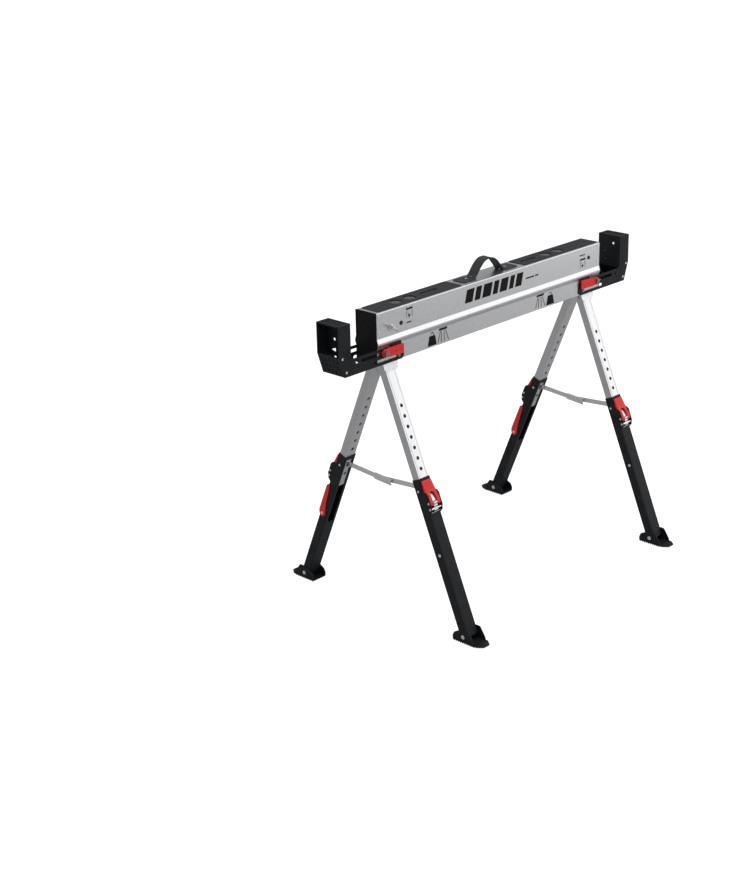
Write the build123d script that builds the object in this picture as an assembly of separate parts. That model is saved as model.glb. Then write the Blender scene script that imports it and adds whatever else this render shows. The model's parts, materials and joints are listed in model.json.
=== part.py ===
"""Folding sawhorse: a pressed-steel beam, sliding end supports and two folding pairs of telescopic legs.

Millimetres. +X runs along the beam, +Y to the back, +Z up, with the floor at Z = 0.
"""
import os
from math import atan2, cos, degrees, radians, sin

from build123d import *

# ---- overall sizes ---------------------------------------------------------------------------
TOP_Z = 820.0                    # working height with the legs fully out
BEAM_L, BEAM_W, BEAM_H = 903.0, 69.0, 134.0
SHEET = 1.8                      # beam sheet thickness
CAP_T, CAP_RIM, CAP_WALL = 3.0, 17.0, 2.5       # end cap plate, rim depth and rim wall
BEAD_DROP = (67.0, 80.0, 91.0)   # start, peak and end of the side bead, below the top
BEAD_OUT = 3.5
CLEAR = 0.4                      # gap between parts that slide or turn past each other
PIN_FIT = 0.05                   # radial running fit of a pin in its hole
SEAT_GAP = 0.05                  # gap between fixed parts that sit inside one another
HALF_L, HALF_W, LOW_Z = BEAM_L / 2, BEAM_W / 2, TOP_Z - BEAM_H
CAP_RIVETS = (10.0, 51.0)        # below the top
CAP_RIVET_IN, CAP_RIVET_D = 11.0, 4.0

# ---- top of the beam -------------------------------------------------------------------------
INSERT_W, LID_T, LID_LAP, INSERT_DEEP = 60.0, 1.2, 3.0, 14.0
INSERT_IN = 126.0                # inner end of each insert, from the middle of the beam
INSERTS = {                      # start, end, slot centre, cup centres; from the beam end inwards
    "left": (-HALF_L + 14.5, -INSERT_IN, -INSERT_IN - 97, (-HALF_L + 108.5, -HALF_L + 158.5)),
    "right": (INSERT_IN + 1, HALF_L - 6.5, INSERT_IN + 48, (HALF_L - 201.5, HALF_L - 149.5)),
}
CUP_D, SLOT_L, SLOT_W, CUP_DEEP = 34.0, 62.0, 11.0, 7.0
PAD_X, PAD_L, PAD_W, PAD_T = 83.0, 52.0, 43.0, 2.4          # handle pads
STRAP_HALF, STRAP_W, STRAP_T, STRAP_RISE = 62.0, 30.0, 2.3, 44.8
STRAP_RIVETS = (-PAD_X + 6, -PAD_X + 25, PAD_X - 25, PAD_X - 6)
STRAP_RIVET_D, STRAP_SEAT = 4.0, 3.4
BUTTONS = {"left": (-HALF_L + 90, TOP_Z - 43), "right": (HALF_L - 51.5, TOP_Z - 34)}
BUTTON_D, BUTTON_OUT, WING_D = 10.0, 1.3, 8.0
WING_HALF, WING_TILT = 12.5, 40.0     # wing centre from the bolt, and how far the wings are turned
WING_X, WING_Z = -HALF_L + 52.5, TOP_Z - 45

# ---- legs: s runs down the leg from its splay pin, n runs outwards from the leg's middle plane -----
LEG_IN = 51.5                    # leg centre, from the end of the beam
LEG_X = {"left": -HALF_L + LEG_IN, "right": HALF_L - LEG_IN}
SPLAY = 22.46                    # degrees each leg leans out
TUBE_X, TUBE_N, WALL, TUBE_R = 41.0, 26.0, 1.5, 3.0
INNER_X, INNER_N, INNER_R = TUBE_X - 2 * (WALL + CLEAR), TUBE_N - 2 * (WALL + CLEAR), 2.2
SPLAY_PIN_D, SPLAY_Y, SPLAY_Z = 8.0, INNER_N / 2 + 2.9, LOW_Z - 7.9
FOOT_PIN_Z = 17.7
FOOT_S = (SPLAY_Z - FOOT_PIN_Z) / cos(radians(SPLAY))
TUBE_L, TRAVEL = 421.4, 190.0    # outer tube, and how far it slides up
TUBE_END = FOOT_S + 7.4
TUBE_TOP = TUBE_END - TUBE_L
INNER_TOP, INNER_END = -6.0, TUBE_TOP + 99.4
HOOK_S, HOOK_N = TUBE_TOP + 199.4, 4.0          # stow hook pin
GUIDE_S, GUIDE_N, GUIDE_D = TUBE_TOP + 30.4, -2.0, 4.4     # rivet of the guide at the tube mouth
LATCH_S, LATCH_N = TUBE_TOP + 65.4, TUBE_N / 2 + 8.5        # latch pin
KEEP_S, KEEP_N = LATCH_S + 15.5, LATCH_N - 1    # spring pin
EAR_S, EAR_N = (LATCH_S - 28, LATCH_S + 25), LATCH_N + 5.5
HOLE_S, HOLE_PITCH, HOLES, HOLE_D = 112.5, 27.5, 10, 9.5
PIN_D = 6.0
HEAD_S = (-14.0, 22.0)           # zinc leg head
HEAD_NEG, HEAD_POS, HEAD_OUT, HEAD_IN = 24.0, 29.0, INNER_N / 2 + 4.9, -8.0
FLANGE_T = 4.0
LUG_S, LUG_N, LUG_R, LUG_T = INNER_END - 78, -TUBE_N / 2 - 7, 6.2, 3.0
LUG_SLOT_W = 22.0
FOOT_T, FOOT_GAP, FOOT_PLATE = 2.2, 0.6, 3.0
FOOT_OUT = TUBE_X / 2 + FOOT_GAP + FOOT_T
HOOK_T = 2.0
HOOK_OUT = TUBE_X / 2 + CLEAR + HOOK_T

# ---- hinges under the beam --------------------------------------------------------------------
YOKE_T, YOKE_HALF = 5.2, SPLAY_Y + 6.5
FOLD_DROP = 51.5                 # the left pair folds this far below the right pair
FOLD = {
    "left": (LEG_X["left"] + HEAD_POS, LOW_Z - FOLD_DROP),
    "right": (LEG_X["right"] - HEAD_NEG - 8, LOW_Z),
}
FOLD_PIN_D, KNUCKLE_R = 8.0, 6.5
YOKE_KNUCKLE, LEAF_HALF = 8.0, 16.0
LEAF_GAP, LEAF_T, LEAF_L = 0.7, 4.5, 38.0
ROOM_R = KNUCKLE_R + 0.5         # space kept round a knuckle

# ---- spreaders ----------------------------------------------------------------------------------
SPREADER_SAG, BAR_T, BAR_H = 9.0, 3.0, 12.4
SLEEVE_L, SLEEVE_H, SLEEVE_T = 58.0, 16.4, 2.2

# ---- end supports -------------------------------------------------------------------------------
SUP_T, SUP_GAP = 2.5, 0.5
SUP_W = BEAM_W + 2 * (SUP_GAP + SUP_T)
ARM_IN = SUP_W / 2 - SUP_T       # inner face of each side plate
SUP_IN, SUP_DEEP, SUP_SLANT = HALF_L + 90.5, 41.0, 18.0
SUP_OUT = SUP_IN + SUP_DEEP
SUP_LOW_X = SUP_OUT - SUP_SLANT
SUP_TOP, SUP_KINK, ARM_TOP = TOP_Z - 2, LOW_Z + 53.5, LOW_Z + 41.5
ARM_END = HALF_L - 95.5
SUP_TRAVEL = 75.0
CLAMP_X, CLAMP_Z, CLAMP_ROD_D = HALF_L - 24, LOW_Z + 29.5, 8.0
GUIDE_X, GUIDE_Z = HALF_L - 77.8, LOW_Z + 11.5
SUP_SLOT_R = CLAMP_ROD_D / 2 + CLEAR
GUIDE_ROOM = 9.0                 # spare length of the lower slot past the guide pin's travel
SUP_RIVET_D = 3.6
SUP_RIVETS = ((SUP_OUT - 11, SUP_KINK - 4.5), (SUP_LOW_X - 6, LOW_Z + 12))
SHELF_Z, LINE_W = LOW_Z + 14.0, 1.8               # pressed line along the arm and up the post
TAB_L, TAB_RISE, TAB_T = 37.0, 5.5, 1.0           # thin tab on the arm behind the clamp lever
POST_HOLES = {                   # y, z and diameter of the holes in the inner wall of each post
    "left": ((16.0, SUP_TOP - 49, 8.0),),
    "right": ((-13.0, SUP_TOP - 23, 7.0), (15.0, SUP_TOP - 47.5, 7.0)),
}
PAD_HALF, PAD_LIP = 28.8, 3.2    # rubber pad: half its width, and the lip under the window
LEVER_IN = SUP_W / 2 + 1.5
LEVER_OUT = LEVER_IN + 6.5
LEVER_L = 66.5

SIDES = {"front": -1, "rear": 1}
ENDS = ("left", "right")


# ---- shared shapes --------------------------------------------------------------------------------
def prism_x(points, x0, x1):
    """Solid with a (y, z) outline between two x planes."""
    face = make_face(Plane.YZ.offset(x0) * Polyline(*points, close=True))
    return extrude(face, amount=x1 - x0, dir=(1, 0, 0))


def prism_y(points, y0, y1):
    """Solid with an (x, z) outline between two y planes."""
    face = make_face(Plane.XZ.offset(-y0) * Polyline(*points, close=True))
    return extrude(face, amount=y1 - y0, dir=(0, 1, 0))


def block(x0, x1, y0, y1, z0, z1):
    return Pos((x0 + x1) / 2, (y0 + y1) / 2, (z0 + z1) / 2) * Box(x1 - x0, y1 - y0, z1 - z0)


def rod_x(radius, x0, x1, y, z):
    return Pos((x0 + x1) / 2, y, z) * Rot(Y=90) * Cylinder(radius, abs(x1 - x0))


def rod_y(radius, y0, y1, x, z):
    return Pos(x, (y0 + y1) / 2, z) * Rot(X=90) * Cylinder(radius, abs(y1 - y0))


def rod_z(radius, z0, z1, x, y):
    return Pos(x, y, (z0 + z1) / 2) * Cylinder(radius, z1 - z0)


def box_tube(x, n, wall, radius, z0, z1):
    """Upright rectangular tube."""
    outer = extrude(Pos(0, 0, z0) * RectangleRounded(x, n, radius), amount=z1 - z0)
    bore = RectangleRounded(x - 2 * wall, n - 2 * wall, max(radius - wall, 0.3))
    return outer - extrude(Pos(0, 0, z0 - 1) * bore, amount=z1 - z0 + 2)


def place_leg(shape, end, side):
    """Moves a shape from the leg's own frame (x, outward, up the leg) to its place."""
    placed = Pos(LEG_X[end], SPLAY_Y, SPLAY_Z) * Rot(X=SPLAY) * shape
    return mirror(placed, about=Plane.XZ) if SIDES[side] < 0 else placed


def for_end(shape, end):
    """A shape drawn at the left end, mirrored when it belongs to the right end."""
    return mirror(shape, about=Plane.YZ) if end == "right" else shape


def save(shape, name):
    """Writes one node: a single solid, or a list of like fasteners kept as separate solids."""
    solids = []
    for item in shape if isinstance(shape, list) else [shape]:
        solids += item.solids()
    node = Compound(children=solids) if len(solids) > 1 else solids[0]
    node.label = name
    export_step(node, f"parts/{name}.step")


# ---- beam --------------------------------------------------------------------------------------------
def beam_outline(inset, low):
    """(y, z) outline of the beam section, moved in by the inset and ending at the given height."""
    half = HALF_W - inset
    a, b, c = (TOP_Z - drop for drop in BEAD_DROP)
    right = [(half, low), (half, c), (half + BEAD_OUT, b - 2), (half + BEAD_OUT, b + 2), (half, a)]
    right.append((half, TOP_Z - inset))
    return right + [(-y, z) for y, z in reversed(right)]


def cap_rivet_places():
    """x, side and z of every end cap rivet."""
    x = HALF_L - CAP_RIVET_IN
    return [(sx * x, sy, TOP_Z - drop) for sx in (-1, 1) for sy in (-1, 1) for drop in CAP_RIVETS]


def beam_shell():
    """Folded sheet beam, open below, with its bead, insert windows and cross holes."""
    end = HALF_L - CAP_T
    shell = prism_x(beam_outline(0, LOW_Z), -end, end)
    top_edges = shell.edges().filter_by(Axis.X).group_by(Axis.Z)[-1]
    shell = fillet(top_edges, 3.0)
    shell -= prism_x(beam_outline(SHEET, LOW_Z - 1), -end - 1, end + 1)
    window_y = INSERT_W / 2 - LID_LAP
    for x0, x1, _, _ in INSERTS.values():
        shell -= block(x0 + LID_LAP, x1 - LID_LAP, -window_y, window_y, TOP_Z - 5, TOP_Z + 5)
    for x, z in BUTTONS.values():
        shell -= rod_y(BUTTON_D / 2 + CLEAR, -BEAM_W, 0, x, z)
    shell -= rod_y(WING_D / 2 + PIN_FIT, -BEAM_W, 0, WING_X, WING_Z)
    for sx in (-1, 1):
        shell -= rod_y(CLAMP_ROD_D / 2 + PIN_FIT, -BEAM_W, BEAM_W, sx * CLAMP_X, CLAMP_Z)
        shell -= rod_y(CLAMP_ROD_D / 2 + PIN_FIT, -BEAM_W, BEAM_W, sx * GUIDE_X, GUIDE_Z)
    for x, sy, z in cap_rivet_places():
        shell -= rod_y(CAP_RIVET_D / 2, sy * 10, sy * BEAM_W, x, z)
    for x in STRAP_RIVETS:
        shell -= rod_z(STRAP_RIVET_D / 2, TOP_Z - 5, TOP_Z + 5, x, 0)
    return shell


def end_cap(end):
    """Moulded plug: a plate shaped like the beam section with a rim inside the sheet."""
    gap, start = SHEET + SEAT_GAP, -HALF_L + CAP_T
    plate = prism_x(beam_outline(0, LOW_Z), -HALF_L, start)
    rim = prism_x(beam_outline(gap, LOW_Z + 1), start, start + CAP_RIM)
    rim -= prism_x(beam_outline(gap + CAP_WALL, LOW_Z - 1), start, start + CAP_RIM + 1)
    insert_room = INSERT_W / 2 - LID_LAP + 1
    rim -= block(start + 3, 0, -insert_room, insert_room, TOP_Z - INSERT_DEEP - 2, TOP_Z + 1)
    cap = plate + rim
    panel = HALF_W - 4
    cap -= block(-HALF_L - 1, -HALF_L + 1.2, -panel, panel, LOW_Z + 5, TOP_Z - BEAD_DROP[2])
    cap -= block(-HALF_L - 1, -HALF_L + 1.2, -panel, panel, TOP_Z - BEAD_DROP[0], TOP_Z - 5)
    for x, sy, z in cap_rivet_places():
        if x < 0:
            cap -= rod_y(CAP_RIVET_D / 2, sy * 10, sy * BEAM_W, x, z)
    return for_end(cap, end)


def end_cap_rivets():
    rivets = []
    for x, sy, z in cap_rivet_places():
        shank = rod_y(CAP_RIVET_D / 2, sy * (HALF_W - SHEET - CAP_WALL), sy * HALF_W, x, z)
        rivets.append(shank + rod_y(CAP_RIVET_D * 0.85, sy * HALF_W, sy * (HALF_W + 0.9), x, z))
    return rivets


def top_insert(end):
    """Thick plastic panel let into the beam top, with two round cups and a slot."""
    x0, x1, slot_x, cups = INSERTS[end]
    mid, long = (x0 + x1) / 2, x1 - x0
    drop = 2 * (LID_LAP + CLEAR)
    lid = extrude(Pos(mid, 0, TOP_Z) * RectangleRounded(long, INSERT_W, 6), amount=LID_T)
    block_face = RectangleRounded(long - drop, INSERT_W - drop, 3)
    body = extrude(Pos(mid, 0, TOP_Z - INSERT_DEEP) * block_face, amount=INSERT_DEEP)
    hollow = RectangleRounded(long - drop - 6, INSERT_W - drop - 6, 2)
    insert = lid + body - extrude(Pos(mid, 0, TOP_Z - INSERT_DEEP - 1) * hollow, amount=4)
    for x in cups:
        insert -= rod_z(CUP_D / 2, TOP_Z - CUP_DEEP, TOP_Z + 5, x, 0)
    return insert - extrude(Pos(slot_x, 0, TOP_Z - CUP_DEEP) * SlotOverall(SLOT_L, SLOT_W), amount=12)


def carry_handle():
    """Strap handle in one piece: flat end pads with an arched band between them."""
    half, rise = STRAP_HALF, STRAP_RISE
    sides = ((0, 0), (0.13, 0.15), (0.29, 0.41), (0.47, 0.69), (0.66, 0.89), (0.84, 0.98))
    curve = [(half * (share - 1), rise * up) for share, up in sides] + [(0, rise)]
    curve += [(-x, h) for x, h in reversed(curve[:-1])]
    inner = []
    for i, (x, h) in enumerate(curve):
        xa, ha = curve[max(i - 1, 0)]
        xb, hb = curve[min(i + 1, len(curve) - 1)]
        slope = atan2(hb - ha, xb - xa)
        inner.append((x + STRAP_T * sin(slope), h - STRAP_T * cos(slope)))
    inner[0], inner[-1] = (-half + 4.5, 0), (half - 4.5, 0)
    upper, lower = Spline(*curve), Spline(*inner)
    outline = Curve() + [upper, lower, Line(upper @ 0, lower @ 0), Line(upper @ 1, lower @ 1)]
    face = make_face(Plane.XZ.offset(-STRAP_W / 2) * Pos(0, TOP_Z) * outline)
    handle = extrude(face, amount=STRAP_W, dir=(0, -1, 0))
    for sx in (-1, 1):
        handle += extrude(Pos(sx * PAD_X, 0, TOP_Z) * RectangleRounded(PAD_L, PAD_W, 8), amount=PAD_T)
    for x in STRAP_RIVETS:
        handle -= rod_z(STRAP_RIVET_D / 2, TOP_Z - 5, TOP_Z + 12, x, 0)
        if abs(x) < STRAP_HALF:
            handle -= rod_z(STRAP_RIVET_D, TOP_Z + STRAP_SEAT, TOP_Z + 12, x, 0)
    return handle


def strap_rivets():
    heads = []
    for x in STRAP_RIVETS:
        seat = TOP_Z + (STRAP_SEAT if abs(x) < STRAP_HALF else PAD_T)
        shank = rod_z(STRAP_RIVET_D / 2, TOP_Z - SHEET, seat, x, 0)
        heads.append(shank + rod_z(STRAP_RIVET_D * 0.9, seat, seat + 1.2, x, 0))
    return heads


def push_button(end):
    """Release button: a stem in the front panel with a shoulder behind the sheet."""
    x, z = BUTTONS[end]
    stem = rod_y(BUTTON_D / 2, -HALF_W - BUTTON_OUT, -HALF_W + 16, x, z)
    collar = rod_y(BUTTON_D / 2 + 2.5, -HALF_W + SHEET + CLEAR, -HALF_W + SHEET + 3, x, z)
    return stem + collar


def wing_bolt():
    """Chromed wing bolt with a collar, two wings and a shank through the front panel."""
    face = -HALF_W - CLEAR
    bolt = rod_y(WING_D / 2, face - 4, -HALF_W + 18, WING_X, WING_Z)
    bolt += rod_y(7.5, face, face - 2.5, WING_X, WING_Z)
    bolt += rod_y(5.5, face - 2.5, face - 10, WING_X, WING_Z)
    for sx in (-1, 1):
        wing = Pos(sx * (WING_HALF - 4), face - 9.5, 0) * Rot(Z=sx * -30) * Box(11, 9, 3.2)
        wing += Pos(sx * WING_HALF, face - 13, 0) * Cylinder(4.2, 3.2)
        bolt += Pos(WING_X, 0, WING_Z) * Rot(Y=WING_TILT) * wing
    return bolt


def clamp_rods():
    """Two through rods across the beam and arms, with a hex head in front and a nut behind."""
    rods = []
    for sx in (-1, 1):
        x, rear = sx * CLAMP_X, SUP_W / 2 + SUP_GAP
        rod = rod_y(CLAMP_ROD_D / 2, -LEVER_OUT - 3, rear + 5, x, CLAMP_Z)
        rod += hex_y(CLAMP_ROD_D * 0.8, -LEVER_OUT - CLEAR, -LEVER_OUT - 4.5, x, CLAMP_Z)
        rod += rod_y(CLAMP_ROD_D, rear, rear + 1.5, x, CLAMP_Z)
        rods.append(rod + hex_y(CLAMP_ROD_D * 0.8, rear + 1.5, rear + 8, x, CLAMP_Z))
    return rods


def hex_y(radius, y0, y1, x, z):
    face = Plane.XZ.offset(-y0) * Pos(x, z) * RegularPolygon(radius, 6, major_radius=False)
    return extrude(face, amount=abs(y1 - y0), dir=(0, (y1 - y0) / abs(y1 - y0), 0))


def guide_pins():
    """Headed pins on the beam that run in the lower slots of the support arms."""
    pins, head = [], SUP_W / 2 + CLEAR
    for sx in (-1, 1):
        for sy in (-1, 1):
            x, z = sx * GUIDE_X, GUIDE_Z
            pin = rod_y(CLAMP_ROD_D / 2, sy * (HALF_W - SHEET), sy * head, x, z)
            pins.append(pin + rod_y(CLAMP_ROD_D / 2 + 0.8, sy * head, sy * (head + 0.7), x, z))
    return pins


# ---- end supports ------------------------------------------------------------------------------------
def support_outline():
    """(x, z) outline of one side plate at the left end."""
    points = [(-SUP_OUT, SUP_TOP), (-SUP_IN, SUP_TOP), (-SUP_IN, ARM_TOP + 5), (-SUP_IN + 5, ARM_TOP)]
    points += [(-ARM_END - 9, ARM_TOP), (-ARM_END, ARM_TOP - 9), (-ARM_END, LOW_Z + 7)]
    return points + [(-ARM_END - 7, LOW_Z), (-SUP_LOW_X, LOW_Z), (-SUP_OUT, SUP_KINK)]


def support_slots():
    """(x, z) faces of a left arm's two slots: upper for the clamp rod, lower for the guide pin."""
    faces = []
    for x, z, room in ((CLAMP_X, CLAMP_Z, 0), (GUIDE_X, GUIDE_Z, GUIDE_ROOM)):
        near, far = x - SUP_SLOT_R, x + SUP_TRAVEL + SUP_SLOT_R + room
        faces.append(Pos(-(near + far) / 2, z) * SlotOverall(far - near, 2 * SUP_SLOT_R))
    return faces


def pressed_line(y0, y1):
    """Shallow line pressed along the arm, round the corner and up the post."""
    bend, top, w = -SUP_IN - 13, SUP_TOP - 30, LINE_W
    arm = [(-SUP_IN + 68, SHELF_Z), (-SUP_IN + 1.5, SHELF_Z), (bend, SUP_KINK + 12), (bend, top)]
    back = [(bend + w, top), (bend + w, SUP_KINK + 12), (-SUP_IN + 1.5 + w, SHELF_Z + w)]
    return prism_y(arm + back + [(-SUP_IN + 68, SHELF_Z + w)], y0, y1)


def support_frame(end):
    """Pressed steel post with two slotted arms that run outside the beam."""
    frame = block(-SUP_IN - SUP_T, -SUP_IN, -ARM_IN, ARM_IN, ARM_TOP, SUP_TOP)
    frame += block(-SUP_OUT, -SUP_IN, -ARM_IN, ARM_IN, SUP_TOP - SUP_T, SUP_TOP)
    frame += block(-SUP_LOW_X + 4, -SUP_IN + 12, -ARM_IN, ARM_IN, LOW_Z, LOW_Z + SUP_T)
    cut_x = -SUP_IN + 16
    for sy in (-1, 1):
        y0, y1 = min(sy * ARM_IN, sy * SUP_W / 2), max(sy * ARM_IN, sy * SUP_W / 2)
        frame += prism_y(support_outline(), y0, y1)
        tab = [(SUP_W / 2, ARM_TOP + TAB_RISE), (SUP_W / 2 - TAB_T, ARM_TOP + TAB_RISE), (ARM_IN, ARM_TOP)]
        tab = [(sy * y, z) for y, z in tab + [(ARM_IN, ARM_TOP - 1), (SUP_W / 2, ARM_TOP - 1)]]
        frame += prism_x(tab, -ARM_END - 9 - TAB_L, -ARM_END - 9)
        for slot in support_slots():
            frame -= extrude(Plane.XZ.offset(-y0 + 1) * slot, amount=SUP_T + 2, dir=(0, 1, 0))
        triangle = [(cut_x, CLAMP_Z - 3), (cut_x + 10, CLAMP_Z - 3), (cut_x, CLAMP_Z + 4)]
        frame -= prism_y(triangle, y0 - 1, y1 + 1)
        face = sy * SUP_W / 2
        frame -= pressed_line(face - 0.6, face + 0.6)
        frame -= block(-SUP_OUT + 17, -SUP_OUT + 25, face - 0.7, face + 0.7, SUP_TOP - 19, SUP_TOP - 15.5)
        for x, z in SUP_RIVETS:
            frame -= rod_y(SUP_RIVET_D / 2, y0 - 1, y1 + 1, -x, z)
    window = PAD_HALF + 0.2
    frame -= block(-SUP_OUT + 6, -SUP_IN - 6, -window, window, SUP_TOP - 5, SUP_TOP + 1)
    for y, z, across in POST_HOLES[end]:
        frame -= rod_x(across / 2, -SUP_IN - 5, -SUP_IN + 5, y, z)
    triangle = [(12, SUP_TOP - 82), (12, SUP_TOP - 71), (28, SUP_TOP - 76.5)]
    frame -= prism_x(triangle, -SUP_IN - 5, -SUP_IN + 5)
    return for_end(frame, end)


def support_pad(end):
    """Rubber pad held in the window at the top of the post."""
    x0, x1 = -SUP_OUT + 6.2, -SUP_IN - 6.2
    lip = PAD_HALF + PAD_LIP
    pad = block(x0, x1, -PAD_HALF, PAD_HALF, SUP_TOP - SUP_T, SUP_TOP - 0.8)
    pad += block(x0 - 2.5, x1 + 2.5, -lip, lip, SUP_TOP - SUP_T - 3, SUP_TOP - SUP_T)
    for i in range(5):
        y = -22 + 11 * i
        pad -= block(x0 + 3, x1 - 3, y - 1.2, y + 1.2, SUP_TOP - 1.8, SUP_TOP)
    return for_end(pad, end)


def tread_plate(end):
    """Sloping step plate between the side plates, with three rows of slanted dimples."""
    run, rise = SUP_OUT - SUP_LOW_X, SUP_KINK - LOW_Z
    length = (run ** 2 + rise ** 2) ** 0.5
    tilt = degrees(atan2(run, rise))
    half = ARM_IN - SEAT_GAP
    plate = block(0, SUP_T, -half, half, 0, length - 1.0)
    for row in range(3):
        for col in range(5):
            y, z = -26.0 + 13 * col, 11.0 + 16 * row
            skew = 2.5 if row % 2 else -2.5
            shape = [(y - 4, z - 5), (y + 4, z - 5), (y + 4 + skew, z + 5), (y - 4 + skew, z + 5)]
            plate -= prism_x(shape, -1, 1.2)
    plate = Pos(-SUP_LOW_X, 0, LOW_Z + 0.6) * Rot(Y=-tilt) * plate
    return for_end(plate, end)


def support_rivets(end):
    rivets = []
    for sy in (-1, 1):
        for x, z in SUP_RIVETS:
            shank = rod_y(SUP_RIVET_D / 2, sy * ARM_IN, sy * SUP_W / 2, -x, z)
            head = rod_y(SUP_RIVET_D * 0.9, sy * SUP_W / 2, sy * (SUP_W / 2 + 0.9), -x, z)
            rivets.append(for_end(shank + head, end))
    return rivets


def clamp_lever(end):
    """Red flip lever on the clamp rod: a rounded boss and a broad finger grip that thins to its tip."""
    x, z, tip = -CLAMP_X, CLAMP_Z, -CLAMP_X + LEVER_L
    up = 1 if end == "left" else -1
    edge = [(x - 6, -9), (x + 12, -11), (tip, -14), (tip, 10.5), (x + 18, 11), (x - 3, 9)]
    lever = prism_y([(px, z + up * dz) for px, dz in edge], -LEVER_OUT, -LEVER_IN)
    lever += rod_y(10.0, -LEVER_OUT, -LEVER_IN, x, z)
    thin = make_face(Polyline((x + 14, -LEVER_OUT - 1), (tip + 1, -LEVER_OUT - 1), (tip + 1, -LEVER_OUT + 3),
                              (x + 14, -LEVER_OUT), close=True))
    lever -= extrude(Pos(0, 0, z - 40) * thin, amount=80)
    lever -= rod_y(CLAMP_ROD_D / 2 + PIN_FIT, -LEVER_OUT - 5, 0, x, z)
    return for_end(lever, end)


# ---- folding hinges ----------------------------------------------------------------------------------
def hinge_mount(end):
    """Fixed leaf inside the beam: knuckles on the fold pin, an upright leaf and side tabs."""
    x, z = FOLD[end]
    inward = 1 if end == "left" else -1
    xa, xb = sorted((x + inward * LEAF_GAP, x + inward * (LEAF_GAP + LEAF_T)))
    xc, xd = sorted((x + inward * LEAF_GAP, x + inward * LEAF_L))
    tab_out, web_z = HALF_W - SHEET - SEAT_GAP, max(z + 22, LOW_Z + 16)
    mount = block(xa, xb, -LEAF_HALF, LEAF_HALF, z, web_z)
    mount += block(xc, xd, -tab_out, tab_out, web_z - 3, web_z)
    for sy in (-1, 1):
        y0, y1 = sorted((sy * (tab_out - 2.5), sy * tab_out))
        mount += block(xc, xd, y0, y1, web_z - 3, web_z + 16)
    mount += rod_y(KNUCKLE_R, -LEAF_HALF, LEAF_HALF, x, z)
    inner = YOKE_KNUCKLE + CLEAR
    mount -= block(x - ROOM_R, x + ROOM_R, -inner, inner, z - ROOM_R, z + ROOM_R)
    return mount - rod_y(FOLD_PIN_D / 2, -40, 40, x, z)


def yoke_span(end):
    """x range of the yoke plate: beside the leg faces, clear of the leg heads."""
    if end == "left":
        return LEG_X[end] + INNER_X / 2 + CLEAR, LEG_X[end] + HEAD_POS - FLANGE_T - CLEAR
    return LEG_X[end] - HEAD_NEG - CLEAR - YOKE_T, LEG_X[end] - HEAD_NEG - CLEAR


def hinge_yoke(end):
    """Swinging leaf that carries the two splay pins of a pair of legs."""
    x, z = FOLD[end]
    x0, x1 = yoke_span(end)
    yoke = block(x0, x1, -YOKE_HALF, YOKE_HALF, SPLAY_Z - 10, SPLAY_Z + 9)
    if z < SPLAY_Z - 12:
        yoke += block(x0, x1, -13, 13, z - KNUCKLE_R, SPLAY_Z)
    for sy in (-1, 1):
        yoke -= rod_y(ROOM_R, sy * YOKE_KNUCKLE, sy * 30, x, z)
    yoke += rod_y(KNUCKLE_R, -YOKE_KNUCKLE, YOKE_KNUCKLE, x, z)
    yoke -= rod_y(FOLD_PIN_D / 2 + PIN_FIT, -40, 40, x, z)
    for sy in (-1, 1):
        yoke -= rod_x(SPLAY_PIN_D / 2, x0 - 9, x1 + 9, sy * SPLAY_Y, SPLAY_Z)
    return yoke


def fold_pins():
    pins = []
    for end in ENDS:
        x, z = FOLD[end]
        pin = rod_y(FOLD_PIN_D / 2, -LEAF_HALF - 1, LEAF_HALF + 1, x, z)
        for sy in (-1, 1):
            pin += rod_y(FOLD_PIN_D / 2 + 1.5, sy * LEAF_HALF, sy * (LEAF_HALF + 1.5), x, z)
        pins.append(pin)
    return pins


def splay_pins(end):
    xc = LEG_X[end]
    x0, x1 = yoke_span(end)
    if end == "left":
        start, stop, head = xc - HEAD_NEG - CLEAR, xc + HEAD_POS, -1.5
        cap = start
    else:
        start, stop, head = x0, xc + HEAD_POS + CLEAR, 1.5
        cap = stop
    pins = []
    for sy in (-1, 1):
        pin = rod_x(SPLAY_PIN_D / 2, start, stop, sy * SPLAY_Y, SPLAY_Z)
        pin += rod_x(SPLAY_PIN_D / 2 + 2, cap, cap + head, sy * SPLAY_Y, SPLAY_Z)
        pins.append(pin - rod_y(ROOM_R, sy * YOKE_KNUCKLE, sy * 30, *FOLD[end]))
    return pins


# ---- legs --------------------------------------------------------------------------------------------
def leg_head(end, side):
    """Zinc casting round the top of a leg: outer plate and two flanges on the splay pin."""
    top, low = -HEAD_S[0], -HEAD_S[1]
    face = INNER_N / 2
    head = block(-HEAD_NEG, HEAD_POS, face, HEAD_OUT, low, top)
    head += block(-HEAD_NEG, -INNER_X / 2, HEAD_IN, HEAD_OUT, low, top)
    inner = HEAD_POS - FLANGE_T if end == "left" else INNER_X / 2
    head += block(inner, HEAD_POS, HEAD_IN, HEAD_OUT, low, top)
    head -= prism_y([(HEAD_POS + 1, -6), (HEAD_POS - 9, low - 1), (HEAD_POS + 1, low - 1)], -30, 30)
    head -= prism_y([(-HEAD_NEG - 1, -15), (-HEAD_NEG + 5, low - 1), (-HEAD_NEG - 1, low - 1)], -30, 30)
    head -= block(-40, 40, HEAD_IN - 1, HEAD_IN + 7, low - 1, low + 9)
    head -= rod_x(SPLAY_PIN_D / 2 + PIN_FIT, -40, 40, 0, 0)
    return place_leg(head, end, side)


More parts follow.
